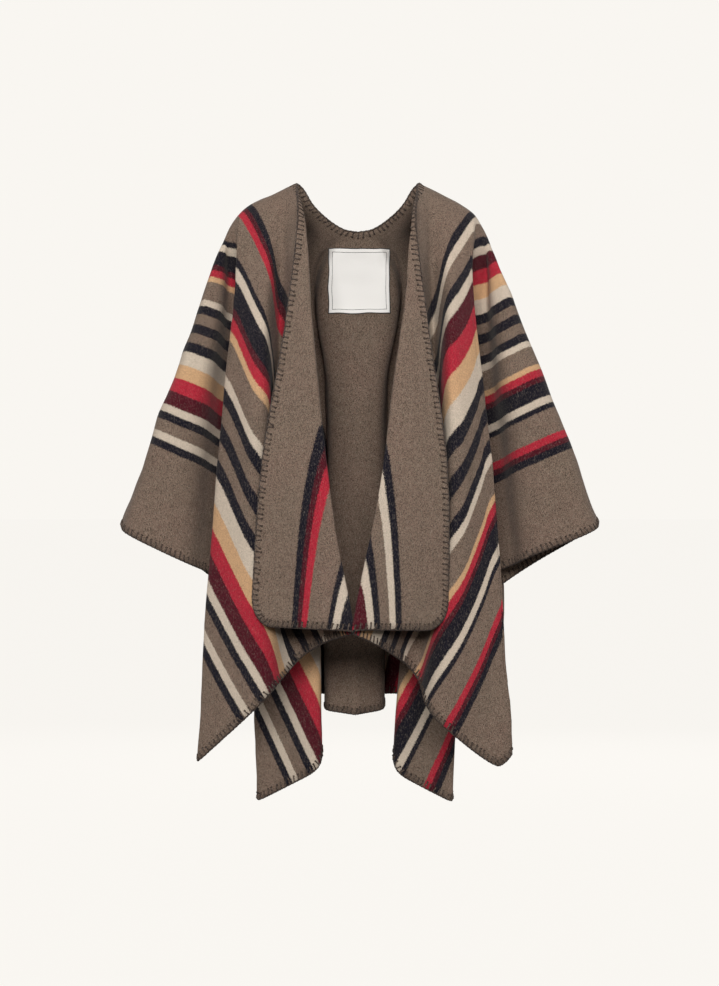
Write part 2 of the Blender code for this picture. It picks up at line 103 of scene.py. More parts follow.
FRONT = {
    "left": (
        ("lapel edge", 0.0, 0.0, 0.0, -0.92, 1.0, 10.3, -7.9, 12.0, -13.4, 16.1, -15.2, 18.3, -14.0, -76.7),
        ("lapel roll", 0.5, 21.2, 0.3, -0.96, 1.6, 9.4, -7.6, 8.3, -15.0, 5.7, -18.3, 1.2, -20.5, -77.3),
        ("under roll", 1.2, 28.9, 0.3, -0.96, 1.25, 10.9, -6.4, 10.3, -12.3, 9.0, -13.0, 5.5, -12.5, -79.5),
        ("under lapel", 2.4, 36.4, 0.4, -0.96, 1.05, 13.2, -4.6, 13.6, -3.6, 14.2, -4.6, 10.5, -6.2, -83.1),
        ("front swell", 6.2, 49.2, 0.4, -0.96, 1.0, 16.3, -6.0, 16.0, -11.6, 17.0, -13.2, 16.3, -12.8, -89.6),
        ("front fold", 12.1, 64.2, 0.15, -0.96, 1.0, 20.9, -4.8, 22.9, -7.9, 25.5, -8.7, 27.4, -7.5, -100.1),
        ("corner", 12.6, 70.5, 0.4, -0.94, 1.0, 20.6, -3.8, 21.0, -5.6, 22.4, -6.2, 24.4, -5.0, -96.0),
        ("fold back", 13.0, 87.0, 0.4, -0.92, 1.0, 20.2, -2.6, 18.2, -3.2, 17.2, -3.3, 16.8, -2.2, -87.0),
        ("underarm", 14.4, 103.5, 0.25, -0.9, 1.0, 20.4, -0.8, 15.5, 0.1, 11.0, 0.8, 7.5, 1.4, -78.0),
        ("sleeve front", 16.0, 126.0, 0.4, -0.9, 1.03, 22.6, 0.2, 22.6, 1.9, 23.2, 1.4, 23.8, 0.0, -69.0),
        ("sleeve wall", 17.3, 133.0, 0.35, -0.9, 0.98, 23.6, -2.6, 25.4, -5.4, 28.2, -6.2, 30.4, -5.6, -65.8),
        ("sleeve nose", 18.6, 143.8, 0.45, -0.9, 1.0, 25.5, -3.6, 29.0, -6.0, 34.3, -7.2, 39.2, -6.8, -61.4),
    ),
    "right": (
        ("lapel edge", 0.0, 0.0, 0.0, -0.92, 1.0, 9.9, -7.9, 11.6, -13.4, 15.0, -15.0, 15.4, -13.4, -77.5),
        ("lapel roll", 0.6, 20.0, 0.3, -0.96, 1.44, 9.4, -7.6, 7.8, -15.0, 4.6, -18.3, -0.5, -20.5, -77.2),
        ("under roll", 1.4, 29.0, 0.3, -0.96, 1.2, 10.6, -6.4, 9.8, -12.5, 8.0, -13.5, 4.4, -14.0, -80.5),
        ("under lapel", 2.6, 40.0, 0.4, -0.96, 1.1, 12.8, -4.6, 13.2, -3.4, 13.2, -4.6, 9.6, -7.0, -85.0),
        ("front swell", 6.0, 50.0, 0.4, -0.96, 1.0, 15.9, -6.0, 15.5, -11.6, 16.2, -13.2, 13.0, -12.8, -92.1),
        ("hem end", 9.2, 65.5, 0.45, -0.96, 1.08, 18.4, -5.6, 20.2, -9.4, 21.7, -11.2, 22.5, -10.5, -100.1),
        ("corner", 10.3, 70.5, 0.35, -0.96, 1.1, 19.0, -5.2, 21.0, -8.8, 23.2, -10.4, 25.4, -9.7, -100.2),
        ("front fold", 11.2, 76.0, 0.2, -0.96, 1.12, 19.4, -4.8, 21.7, -7.9, 24.2, -9.5, 26.2, -8.6, -98.2),
        ("fold back", 12.0, 92.0, 0.45, -0.92, 1.0, 19.2, -2.6, 18.2, -3.4, 17.3, -3.6, 16.9, -2.8, -87.0),
        ("underarm", 13.6, 108.2, 0.25, -0.9, 1.0, 20.4, -0.8, 15.5, 0.1, 11.0, 0.8, 7.5, 1.4, -75.5),
        ("sleeve front", 15.4, 126.0, 0.4, -0.9, 1.03, 22.6, 0.2, 22.6, 1.9, 23.4, 1.4, 24.1, 0.0, -67.8),
        ("sleeve wall", 16.8, 133.0, 0.35, -0.9, 1.0, 23.2, -2.6, 25.0, -5.4, 27.2, -6.4, 29.8, -5.8, -65.0),
        ("sleeve nose", 18.4, 143.8, 0.45, -0.9, 0.98, 25.3, -3.6, 29.2, -6.0, 34.7, -7.2, 39.9, -6.8, -60.9),
    ),
}

BACK = {
    "left": (
        ("centre", -14.0, 0.0, 0.0, 0.35, 1.0, 0.0, 9.9, 0.0, 10.5, 0.2, 10.4, 0.5, 9.9, -93.6),
        ("centre edge", -12.0, 6.8, 0.34, 0.4, 1.0, 6.1, 10.0, 4.6, 11.6, 5.2, 12.3, 5.9, 12.8, -92.9),
        ("back groove", -11.0, 11.5, 0.3, 0.3, 1.0, 7.2, 13.4, 5.7, 16.2, 5.5, 17.2, 5.2, 17.6, -92.0),
        ("back tube in", -9.0, 19.8, 0.35, 0.45, 1.0, 8.5, 12.4, 6.3, 17.4, 5.8, 19.2, 4.6, 20.0, -90.6),
        ("back tube out", -5.0, 26.0, 0.4, 0.55, 1.0, 11.2, 12.4, 11.6, 18.0, 12.3, 19.8, 11.5, 20.5, -91.8),
        ("inner fold", 3.0, 46.2, 0.35, 0.96, 1.0, 15.6, 8.2, 14.6, 11.0, 8.1, 6.0, 6.4, 3.6, -101.1),
        ("tail fold", 12.1, 61.2, 0.15, 0.96, 1.0, 19.8, 6.6, 19.8, 9.4, 18.9, 9.4, 17.5, 6.8, -108.4),
        ("corner", 12.9, 70.5, 0.4, 0.96, 1.0, 20.5, 6.8, 19.6, 11.3, 17.4, 12.4, 14.8, 10.5, -104.0),
        ("back valley", 13.7, 91.0, 0.4, 0.96, 1.0, 21.2, 6.8, 19.8, 13.0, 15.4, 15.0, 12.6, 13.5, -97.0),
        ("back fold", 14.6, 114.0, 0.3, 0.94, 1.0, 22.2, 6.2, 24.4, 12.8, 25.8, 16.0, 26.2, 15.9, -88.5),
        ("underarm", 15.6, 139.0, 0.3, 0.92, 1.0, 22.7, 4.0, 22.6, 5.2, 21.9, 5.7, 21.0, 5.4, -74.5),
        ("sleeve back", 17.2, 153.5, 0.4, 0.9, 1.0, 23.9, 3.3, 25.6, 4.4, 28.2, 4.8, 30.0, 4.4, -65.8),
        ("sleeve nose", 19.0, 166.5, 0.45, 0.9, 1.0, 25.6, 2.9, 29.0, 4.2, 34.3, 4.5, 39.2, 4.4, -61.3),
    ),
    "right": (
        ("centre", -14.0, 0.0, 0.0, 0.35, 1.0, 0.0, 9.9, 0.0, 10.5, -0.2, 10.4, -0.5, 9.9, -93.6),
        ("centre edge", -12.0, 6.8, 0.34, 0.4, 1.0, 6.1, 10.0, 4.2, 11.6, 4.3, 12.3, 4.1, 12.8, -92.9),
        ("back groove", -11.0, 11.5, 0.3, 0.3, 1.0, 7.2, 13.4, 5.3, 16.2, 5.0, 17.2, 4.4, 17.6, -92.0),
        ("back tube in", -9.0, 17.5, 0.35, 0.45, 1.0, 8.5, 12.4, 5.9, 17.4, 5.4, 19.2, 3.8, 20.0, -90.6),
        ("back tube out", -5.0, 25.0, 0.4, 0.55, 1.0, 11.2, 12.4, 11.6, 18.0, 12.3, 19.8, 11.3, 20.5, -91.8),
        ("inner fold", 3.0, 45.0, 0.35, 0.96, 1.0, 15.4, 8.2, 14.4, 11.0, 9.4, 6.0, 6.3, 3.6, -101.6),
        ("tail fold", 11.2, 59.2, 0.15, 0.96, 1.0, 19.6, 6.6, 19.6, 9.4, 18.6, 9.4, 16.4, 6.8, -108.6),
        ("corner", 12.2, 70.5, 0.4, 0.96, 1.0, 20.3, 6.8, 19.4, 11.3, 17.0, 12.4, 14.3, 10.5, -104.0),
        ("back valley", 13.1, 91.0, 0.4, 0.96, 1.0, 21.0, 6.8, 19.6, 13.0, 15.2, 15.0, 12.4, 13.5, -97.0),
        ("back fold", 14.0, 114.0, 0.3, 0.94, 1.0, 22.0, 6.2, 24.2, 12.8, 25.6, 16.0, 26.0, 15.9, -88.5),
        ("underarm", 15.2, 139.0, 0.3, 0.92, 1.0, 22.5, 4.0, 22.6, 5.2, 22.1, 5.7, 21.4, 5.4, -74.5),
        ("sleeve back", 17.0, 153.5, 0.4, 0.9, 1.0, 23.8, 3.3, 25.6, 4.4, 28.2, 4.8, 30.0, 4.6, -67.0),
        ("sleeve nose", 19.0, 166.5, 0.45, 0.9, 1.0, 25.4, 2.9, 29.2, 4.2, 34.7, 4.5, 39.9, 4.4, -61.2),
    ),
}
ARM_RIDGE_TOP = 19.6         # u where the last guide, the arm ridge itself, begins
ARM_RIDGE_BOW = {"left": 1.0, "right": 1.03}
SLEEVE_DRAW = {"left": 1.1, "right": 1.5}

# The frame's panels that the one blanket stands for, besides the centre of the back
PANELS = ("front", "front_fold", "sleeve_front", "back_side", "back_fold", "sleeve_back")

# The hung cloth's mesh
ROWS = 60
FRONT_COLUMNS = 184
NECK_COLUMNS = 28            # columns of the back that start on the neck slit
SETTLE_SHARE = 0.14          # share of the fall over which the back's columns leave the ridge's
FOLD_COLUMN_WEIGHT = 2.0     # cm of extra width that one radian of turning counts as
FULL_WEIGHT_REACH = 30.0     # cm a row must span for its turning to count in full
ROW_CROWDING = 1.15          # above 1.0 the rows lie closer near the top
GUIDE_SAMPLES = 241
LEAST_FALL = 0.12            # a guide always falls at least this share of its length
BEND_PASSES = 12
WELD = 2e-5                  # metres within which the panels' shared points are joined
CLOTH_THICKNESS = 0.32

# Soft creases: on a half of the cloth, from (u, v) to (u, v), with their half width and height
CREASES = (
    ("chest trough", "left", 12.0, 8.0, 22.0, 38.0, 2.6, -0.22),
    ("chest ridge", "left", 16.0, 8.0, 30.0, 44.0, 3.0, 0.20),
    ("front ridge", "left", 24.0, 34.0, 45.0, 76.0, 3.5, 0.30),
    ("front trough", "left", 36.0, 30.0, 62.0, 70.0, 3.5, -0.28),
    ("lapel trough", "left", 6.0, 22.0, 9.0, 72.0, 3.5, -0.18),
    ("lapel ridge", "left", 14.0, 36.0, 17.0, 78.0, 3.0, 0.16),
    ("sleeve trough", "left", 23.0, 10.0, 50.0, 33.0, 2.6, -0.30),
    ("sleeve ridge", "left", 27.0, 7.0, 60.0, 24.0, 3.2, 0.28),
    ("cuff ridge", "left", 48.0, 10.0, 69.0, 13.0, 3.6, 0.22),
    ("tail ridge", "left", 30.0, -40.0, 56.0, -95.0, 4.0, 0.30),
    ("back valley", "left", 20.0, -12.0, 44.0, -60.0, 4.5, -0.35),
    ("back sleeve trough", "left", 24.0, -12.0, 58.0, -36.0, 3.2, -0.28),
    ("back shoulder ridge", "left", 15.0, -6.0, 26.0, -30.0, 3.0, 0.22),
    ("chest trough", "right", 11.0, 10.0, 20.0, 42.0, 2.8, -0.20),
    ("chest ridge", "right", 15.0, 6.0, 31.0, 40.0, 3.0, 0.22),
    ("front ridge", "right", 26.0, 38.0, 50.0, 78.0, 3.5, 0.28),
    ("front trough", "right", 34.0, 26.0, 60.0, 64.0, 3.6, -0.30),
    ("lapel trough", "right", 5.0, 30.0, 8.0, 76.0, 3.6, -0.18),
    ("lapel ridge", "right", 12.0, 28.0, 14.0, 70.0, 3.0, 0.15),
    ("sleeve trough", "right", 22.0, 9.0, 46.0, 30.0, 2.6, -0.28),
    ("sleeve ridge", "right", 26.0, 6.0, 62.0, 22.0, 3.0, 0.30),
    ("cuff trough", "right", 50.0, 14.0, 69.0, 20.0, 3.4, -0.22),
    ("tail ridge", "right", 28.0, -44.0, 54.0, -95.0, 4.0, 0.28),
    ("back valley", "right", 22.0, -10.0, 46.0, -56.0, 4.5, -0.35),
    ("back sleeve trough", "right", 23.0, -10.0, 60.0, -32.0, 3.2, -0.28),
    ("back shoulder ridge", "right", 14.0, -7.0, 24.0, -34.0, 3.0, 0.20),
    ("centre back ridge", "right", 2.0, -30.0, 3.0, -90.0, 3.0, 0.15),
)
SWELL_HEIGHT = 0.35
SWELL_WIDTH = 9.0
SWELL_LENGTH = 22.0
RIPPLE_HEIGHT = 0.10
RIPPLE_WIDTH = 3.2
SWELL_SLICE, RIPPLE_SLICE = 3.7, 8.1    # the slices of the noise that they are read from
UPPER_BACK = -0.3            # metres: a height at which the back is sure to face outward

# Blanket stitch, in cm
STITCH_PITCH = 0.92
STITCH_LENGTH = 0.95
STITCH_VARIATION = 0.35
STITCH_SLANT = 0.5
STITCH_PULL = 0.05           # how far each bar pulls the edge in, and the edge yarn swells between
EDGE_STEPS = 6               # points of the edge yarn for each stitch
YARN_RADIUS = 0.14
EDGE_YARN_RADIUS = 0.19
PRICK_SHADOW_RADIUS = 0.21          # radius of the dark tube painted as the shadow in the small hollow where each bar goes into the cloth
EDGE_WANDER = 0.6            # of half the cloth's thickness, how far the edge yarn wanders
EDGE_WANDER_SCALE = 90.0
BAR_DRIFT = 0.35             # how far the bars lean to one side on average, in slants
OFF_CLOTH = 1.6              # half thicknesses off the cloth from which a point is laid on it

# The label, in cm; its lines are given as shares of its width from the edge
LABEL_WIDTH = 11.1
LABEL_HEIGHT = 11.6
LABEL_THICKNESS = 0.08
LABEL_CENTRE = 0.2
LABEL_DROP = 2.6
LABEL_CELLS = 40
LABEL_PUFF = 0.10
LABEL_PUCKER = 0.16
LABEL_CLEARANCE = 0.02
LABEL_LINES = ((0.0, 0.014), (0.062, 0.069))
LABEL_GROUND = (1.0, 0.97, 0.92, 1.0)
LABEL_DARK = (0.03, 0.025, 0.022, 1.0)

# The stripes, woven from the same block on both halves, read from left to right, in cm
STRIPES = (
    ("navy", 1.25), ("cream", 1.3), ("plain", 2.1), ("navy", 1.3), ("cream", 1.3), ("burgundy", 2.5),
    ("red", 2.4), ("camel", 2.3), ("cream", 2.45), ("navy", 1.7), ("plain", 1.7), ("navy", 1.7),
    ("plain", 1.7), ("navy", 1.6), ("cream", 1.0), ("plain", 3.4), ("camel", 1.0), ("red", 1.3),
    ("burgundy", 0.9), ("navy", 2.5), ("cream", 1.35), ("navy", 0.85), ("plain", 4.3), ("red", 1.3),
    ("burgundy", 1.0), ("navy", 1.3),
)
STRIPE_START = {"left": 9.2, "right": 10.3}    # from the centre to the block's nearest stripe
# Colours of the yarns; the last value is how strongly other fibres show in them
YARN = {
    "plain": (0.172, 0.121, 0.092, 1.0),
    "navy": (0.010, 0.009, 0.015, 0.7),
    "cream": (0.545, 0.452, 0.36, 0.35),
    "burgundy": (0.072, 0.0078, 0.0145, 0.7),
    "red": (0.385, 0.021, 0.038, 0.55),
    "camel": (0.545, 0.33, 0.178, 0.4),
}
STITCH_LIGHT = (0.150, 0.108, 0.083, 1.0)
STITCH_DARK = (0.018, 0.012, 0.010, 1.0)
EDGE_LIGHT = (0.105, 0.074, 0.057, 1.0)
# painted shade: colour of the dark tubes that stand for the shadow in each stitch's hollow
PRICK_SHADE_COLOUR = (0.022, 0.015, 0.012, 1.0)
KEMP = (0.42, 0.35, 0.28, 1.0)
FLECK_SCALE, FIBRE_SCALE, MOTTLE_SCALE, HAIR_SCALE = 820.0, 1500.0, 70.0, 1700.0
FLECK_MEAN, FLECK_CONTRAST = 0.765, 3.6
MOTTLE_CONTRAST = 0.36
DARKEST_FLECK = 0.12
HUE_SCALE_BROAD, HUE_SCALE_FINE = 11.0, 760.0
HAIR_TURNS = (0.5, -0.35, 1.3)
HAIR_THRESHOLD = 0.655
HEATHER_WARM = (1.09, 0.965, 0.985, 1.0)
HEATHER_GREEN = (0.92, 1.035, 0.98, 1.0)

# The studio, in metres and watts
FLOOR_HEIGHT = -1.46
FLOOR_SIZE = 200.0
PAPER = (0.947, 0.922, 0.880)
PAPER_SHADE = 0.02           # share of the lights that the paper gives back, over its own glow
PAPER_GLOW = 0.985
LIGHTS = (
    ("front softbox", (-0.2, -6.0, 1.05), (0.0, 0.0, -0.5), 2.8, 1.6, 330.0),
    ("left softbox", (-3.0, -3.4, 0.9), (0.0, 0.0, -0.5), 1.6, 2.4, 18.0),
    ("right softbox", (3.0, -3.4, 0.8), (0.0, 0.0, -0.55), 1.6, 2.4, 22.0),
    ("left side", (-4.4, 0.8, 0.7), (0.0, 0.0, -0.5), 2.0, 2.4, 50.0),
    ("right side", (4.4, 0.8, 0.7), (0.0, 0.0, -0.5), 2.0, 2.4, 60.0),
    ("back softbox", (0.4, 5.6, 1.0), (0.0, 0.0, -0.5), 2.8, 2.4, 230.0),
    ("overhead", (0.0, -0.4, 3.0), (0.0, 0.0, -0.4), 3.0, 2.4, 26.0),
)
AIR = (1.0, 0.985, 0.965)
AIR_STRENGTH = 0.09
CAMERA_OUT = 0.0026
CAMERA_HEIGHT = -0.541
CAMERA_DISTANCE = 5.0
VIEW_HEIGHT = 1.7255
SENSOR = 24.0                # mm


def smooth_through(stops, values, at, first_slope=None, steady=False):
    """Read a smooth curve through the values, one row for each stop, at the given places.

    A steady curve never turns back between two stops."""
    stops, values, at = np.asarray(stops), np.asarray(values, float), np.asarray(at, float)
    if values.ndim == 1:
        values = values[:, None]
    spans = np.diff(stops)[:, None]
    chords = np.diff(values, axis=0) / spans
    before, after = chords[:-1], chords[1:]
    between = (before * spans[1:] + after * spans[:-1]) / (spans[1:] + spans[:-1])
    if steady:
        between = np.where(before * after > 0.0, 2.0 * before * after / (before + after + 1e-12), 0.0)
    slopes = np.vstack([chords[:1], between, chords[-1:]])
    if first_slope is not None:
        slopes[0] = first_slope
    piece = np.clip(np.searchsorted(stops, at, side="right") - 1, 0, len(stops) - 2)
    span = spans[piece]
    s = ((at - stops[piece]) / span[:, 0])[:, None]
    return (
        values[piece] * (1 + 2 * s) * (1 - s) ** 2
        + values[piece + 1] * s ** 2 * (3 - 2 * s)
        + slopes[piece] * span * s * (1 - s) ** 2
        + slopes[piece + 1] * span * s ** 2 * (s - 1)
    )


def along_line(points):
    """Distance along a line of points, from its first."""
    return np.concatenate([[0.0], np.cumsum(np.linalg.norm(np.diff(points, axis=0), axis=1))])


def read_along(at, along, points):
    """Points of a line at the given places; along holds the places of its own points."""
    return np.column_stack([np.interp(at, along, points[:, axis]) for axis in range(3)])


def ridge_point(side, u):
    """The shoulder and arm ridge in space, at distance u out on the cloth."""
    rows = np.array(RIDGE[side])
    return smooth_through(rows[:, 0], rows[:, 1:], np.atleast_1d(u))


def ridge_cloth(side, u):
    """The same ridge on the flat cloth: it runs forward to the shoulder point, then straight.

    Past the shoulder the cloth is drawn a little towards the neck."""
    past = min(max(u / SHOULDER - 1.0, 0.0) / (ARM_RIDGE_TOP / SHOULDER - 1.0), 1.0)
    return np.array([u - SLEEVE_DRAW[side] * past, RIDGE_FORWARD * min(u / SHOULDER, 1.0)])


def top_point(side, top):
    """Where a guide starts: in space and on the cloth."""
    if top >= 0.0:
        return ridge_point(side, top)[0], ridge_cloth(side, top)
    rows = np.array(NECK)
    return smooth_through(rows[:, 0], rows[:, 1:], [-top])[0], np.array([0.0, top])


def cut_edge(distance, length):
    """A point of the cut edge: along the hem, round the corner and up the side."""
    across = max(HALF_WIDTH - distance, 0.0)
    down = max(distance - HALF_WIDTH, 0.0)
    across, down = round_corner(np.array([across]), np.array([down]))
    return np.array([HALF_WIDTH - across[0], length - down[0]])


def round_corner(across, down):
    """Move points near a square corner, given by their distances from its sides, into its arc."""
    depth = np.minimum(across, down)
    from_centre = np.stack([across, down]) - CORNER_RADIUS
    reach = np.maximum(np.hypot(*from_centre), 1e-9)
    inside = (across < CORNER_RADIUS) & (down < CORNER_RADIUS)
    moved = CORNER_RADIUS + from_centre * (CORNER_RADIUS - depth) / reach
    return np.where(inside, moved[0], across), np.where(inside, moved[1], down)


def hang_guide(side, row, length_sign, edge_length, shares):
    """Positions of one guide at the given shares of its length."""
    guide = dict(zip(GUIDE_COLUMNS, row))
    start, start_cloth = top_point(side, guide["top"])
    end_cloth = cut_edge(guide["edge"], edge_length) * (1.0, length_sign)
    length = float(np.hypot(*(end_cloth - start_cloth)))
    out = [start[0]] + [guide[f"out_{level}"] for level in (1, 2, 3, 4)]
    deep = [start[1]] + [guide[f"deep_{level}"] for level in (1, 2, 3, 4)]
    fine = np.linspace(0.0, 1.0, GUIDE_SAMPLES)
    out_fine = smooth_through(LEVELS, out, fine)[:, 0]
    deep_fine = smooth_through(LEVELS, deep, fine, guide["lean"] * length)[:, 0]
    sideways = np.gradient(out_fine, fine) ** 2 + np.gradient(deep_fine, fine) ** 2
    fall = np.sqrt(np.maximum(length ** 2 - sideways, (LEAST_FALL * length) ** 2))
    fallen = np.concatenate([[0.0], np.cumsum((fall[1:] + fall[:-1]) / 2)])
    height = start[2] + (guide["end"] - start[2]) * fallen / fallen[-1]
    curve = np.column_stack([out_fine, deep_fine, height])
    return read_along(shares, fine, curve)


def hang_arm_ridge(side, shares):
    """The last guide of both front and back: the arm ridge out to its tip."""
    return ridge_point(side, ARM_RIDGE_TOP + (HALF_WIDTH - ARM_RIDGE_TOP) * shares)


def bend_across(points, softness, steps=9):
    """One row of the cloth: a curve through the guides, rounded at each one by its softness.

    Returns the curve and the index of each guide's own point on it."""
    control = points.copy()
    for _ in range(BEND_PASSES):
        lean_in = control[:-2] + control[2:] - 2.0 * control[1:-1]
        control[1:-1] = points[1:-1] - 0.25 * softness[1:-1, None] * lean_in
    curve, own = [points[0]], [0]
    s = np.linspace(0.0, 1.0, 2 * steps + 1)[:, None]
    for here in range(1, len(points) - 1):
        start = control[here] + softness[here] * (control[here - 1] - control[here])
        end = control[here] + softness[here] * (control[here + 1] - control[here])
        own.append(len(curve) + steps)
        curve.extend((1 - s) ** 2 * start + 2 * s * (1 - s) * control[here] + s ** 2 * end)
    curve.append(points[-1])
    own.append(len(curve) - 1)
    return np.array(curve), own


def spread_columns(curve, own, columns):
    """Guide shares of a row's columns: even along its length, closer where the cloth turns."""
    steps = np.diff(curve, axis=0)
    lengths = np.linalg.norm(steps, axis=1)
    headings = steps / np.maximum(lengths, 1e-9)[:, None]
    turns = np.arccos(np.clip(np.sum(headings[1:] * headings[:-1], axis=1), -1.0, 1.0))
    turning = np.concatenate([[0.0], turns]) / 2 + np.concatenate([turns, [0.0]]) / 2
    reach = np.linalg.norm(curve[own[-1]] - curve[own[0]])
    along = np.concatenate([[0.0], np.cumsum(lengths)])
    weight = np.concatenate([[0.0], np.cumsum(
        lengths + FOLD_COLUMN_WEIGHT * turning * min(1.0, reach / FULL_WEIGHT_REACH))])
    shares = []
    for stretch, count in enumerate(columns):
        first, last = own[stretch], own[stretch + 1]
        picks = np.linspace(weight[first], weight[last], count + 1)
        picks = picks if stretch == len(columns) - 1 else picks[:-1]
        at = np.interp(picks, weight, along)
        shares.extend(stretch + (at - along[first]) / max(along[last] - along[first], 1e-9))
    return np.array(shares)


def read_row(curve, own, shares):
    """Points of a row's curve at the given guide shares."""
    along = along_line(curve)
    return read_along(np.interp(shares, np.arange(len(own)), along[own]), along, curve)


def hang_panel(side, table, length_sign, edge_length, column_count, ridge_tops=None):
    """A panel of the cloth between its first guide and the arm ridge: positions and cloth (u, v).

    ridge_tops are where its columns must start, so that it meets the panel on the ridge's far side.
    Returns also where the columns start."""
    row_shares = np.linspace(0.0, 1.0, ROWS + 1) ** ROW_CROWDING
    guides = [hang_guide(side, row, length_sign, edge_length, row_shares) for row in table]
    guides = np.array(guides + [hang_arm_ridge(side, row_shares)])
    softness = np.array([row[3] for row in table] + [0.0])
    bows = np.array([row[5] for row in table] + [ARM_RIDGE_BOW[side]])
    tops = np.array([row[1] for row in table] + [ARM_RIDGE_TOP])
    edges = np.array([row[2] for row in table]
                     + [HALF_WIDTH + edge_length - RIDGE_FORWARD * length_sign])
    numbers = np.arange(len(tops))
    columns = np.diff(np.round(edges / edges[-1] * column_count)).astype(int)
    curves = [bend_across(guides[:, row], softness) for row in range(len(row_shares))]
    if ridge_tops is None:
        ridge_tops = np.interp(spread_columns(*curves[1], columns), numbers, tops)
    at_ridge = np.interp(ridge_tops, tops, numbers)
    grid, cloth = [], []
    for (curve, own), share in zip(curves, row_shares):
        settled = min(share / SETTLE_SHARE, 1.0)
        settled = settled * settled * (3.0 - 2.0 * settled)
        guide_shares = at_ridge + (spread_columns(curve, own, columns) - at_ridge) * settled
        along = along_line(curve)[own]
        places = np.interp(guide_shares, numbers, along)
        row_tops, row_edges, row_bows = smooth_through(
            along, np.column_stack([tops, edges, bows]), places, steady=True).T
        if share == 0.0:
            row_tops = ridge_tops
        starts = np.array([top_point(side, top)[1] for top in row_tops])
        ends = np.array([cut_edge(edge, edge_length) for edge in row_edges]) * (1.0, length_sign)
        progress = np.column_stack([share ** row_bows, np.full(len(row_bows), share)])
        grid.append(read_row(curve, own, guide_shares))
        cloth.append(starts + (ends - starts) * progress)
    grid[0] = np.array([top_point(side, top)[0] for top in ridge_tops])
    return np.array(grid), np.array(cloth), ridge_tops


def round_lapel_corner(grid, cloth, roll_edge):
    """Round the lapel's free corner: the cloth there is flat, so its points slide in its plane."""
    roll_column = int(np.argmin(np.abs(cloth[-1, :, 0] - roll_edge)))
    along_u = (grid[-1, roll_column] - grid[-1, 0]) / cloth[-1, roll_column, 0]
    along_v = (grid[-1, 0] - grid[-4, 0]) / (cloth[-1, 0, 1] - cloth[-4, 0, 1])
    across, down = cloth[..., 0].copy(), FRONT_LENGTH - cloth[..., 1]
    moved_across, moved_down = round_corner(across, down)
    grid += (moved_across - across)[..., None] * along_u
    grid -= (moved_down - down)[..., None] * along_v
    cloth[..., 0], cloth[..., 1] = moved_across, FRONT_LENGTH - moved_down


def mirrored(side):
    """Which way out is on this side: -1 to the left, 1 to the right."""
    return -1.0 if side == "left" else 1.0


def cloth_panel(name, side, grid, cloth):
    """A flat grid of cloth, taken to where it hangs. It keeps its place in the cut as UV and as "cut"."""
    rows, columns = grid.shape[0] - 1, grid.shape[1] - 1
    bpy.ops.mesh.primitive_grid_add(x_subdivisions=columns, y_subdivisions=rows, size=1.0)
    panel = bpy.context.object
    panel.name = name
    mesh = panel.data
    outward = mirrored(side)
    places = (grid * (outward, 1.0, 1.0) * CM).reshape(-1, 3)
    cut = (cloth * (outward, 1.0) * CM).reshape(-1, 2)
    mesh.vertices.foreach_set("co", places.astype(np.float32).ravel())
    where = mesh.attributes.new("cut", "FLOAT2", "POINT")
    where.data.foreach_set("vector", cut.astype(np.float32).ravel())
    corners = np.empty(len(mesh.loops), dtype=np.int32)
    mesh.loops.foreach_get("vertex_index", corners)
    mesh.uv_layers[0].data.foreach_set("uv", cut[corners].astype(np.float32).ravel())
    mesh.update()
    return panel


def hang_cloth():
    """The whole blanket in one piece, without its thickness."""
    panels = []
    for side in ("left", "right"):
        grid, cloth, tops = hang_panel(side, FRONT[side], 1.0, FRONT_LENGTH, FRONT_COLUMNS)
        round_lapel_corner(grid, cloth, FRONT[side][1][2])
        panels.append(cloth_panel(f"front_{side}_panel", side, grid, cloth))
        neck_tops = np.linspace(BACK[side][0][1], 0.0, NECK_COLUMNS + 1)[:-1]
        grid, cloth, _ = hang_panel(side, BACK[side], -1.0, BACK_LENGTH, NECK_COLUMNS + FRONT_COLUMNS,
                                    np.concatenate([neck_tops, tops]))
        panels.append(cloth_panel(f"back_{side}_panel", side, grid, cloth))
    for panel in panels:
        panel.select_set(True)
    bpy.context.view_layer.objects.active = panels[0]
    bpy.ops.object.join()
    blanket = bpy.context.object
    blanket.name = blanket.data.name = "blanket"
    bpy.ops.object.mode_set(mode="EDIT")
    bpy.ops.mesh.select_all(action="SELECT")
    bpy.ops.mesh.remove_doubles(threshold=WELD)
    bpy.ops.mesh.normals_make_consistent(inside=False)
    bpy.ops.object.mode_set(mode="OBJECT")
    face_outward(blanket)
    return blanket


def face_outward(blanket):
    """The right side of the cloth is the one that faces away from the wearer at the top of the back."""
    mesh = blanket.data
    upper_back = max(mesh.polygons, key=lambda face: face.center.y - 0.5 * abs(face.center.z - UPPER_BACK))
    if upper_back.normal.y < 0.0:
        mesh.flip_normals()


def read_vectors(mesh, name, width):
    """The points' places, their normals or their places in the cut, as rows of numbers."""
    values = np.empty(len(mesh.vertices) * width, dtype=np.float32)
    if name == "cut":
        mesh.attributes["cut"].data.foreach_get("vector", values)
    elif name == "normal":
        mesh.vertex_normals.foreach_get("vector", values)
    else:
        mesh.vertices.foreach_get(name, values)
    return values.reshape(-1, width).astype(float)


def distance_from_line(cut, start, end):
    """Distance of each place in the cut from the line between two of its places."""
    start, end = np.array(start), np.array(end)
    run = end - start
    share = (cut - start) @ run / (run @ run)
    off = cut - start - np.clip(share, 0.0, 1.0)[:, None] * run
    return np.hypot(*off.T)


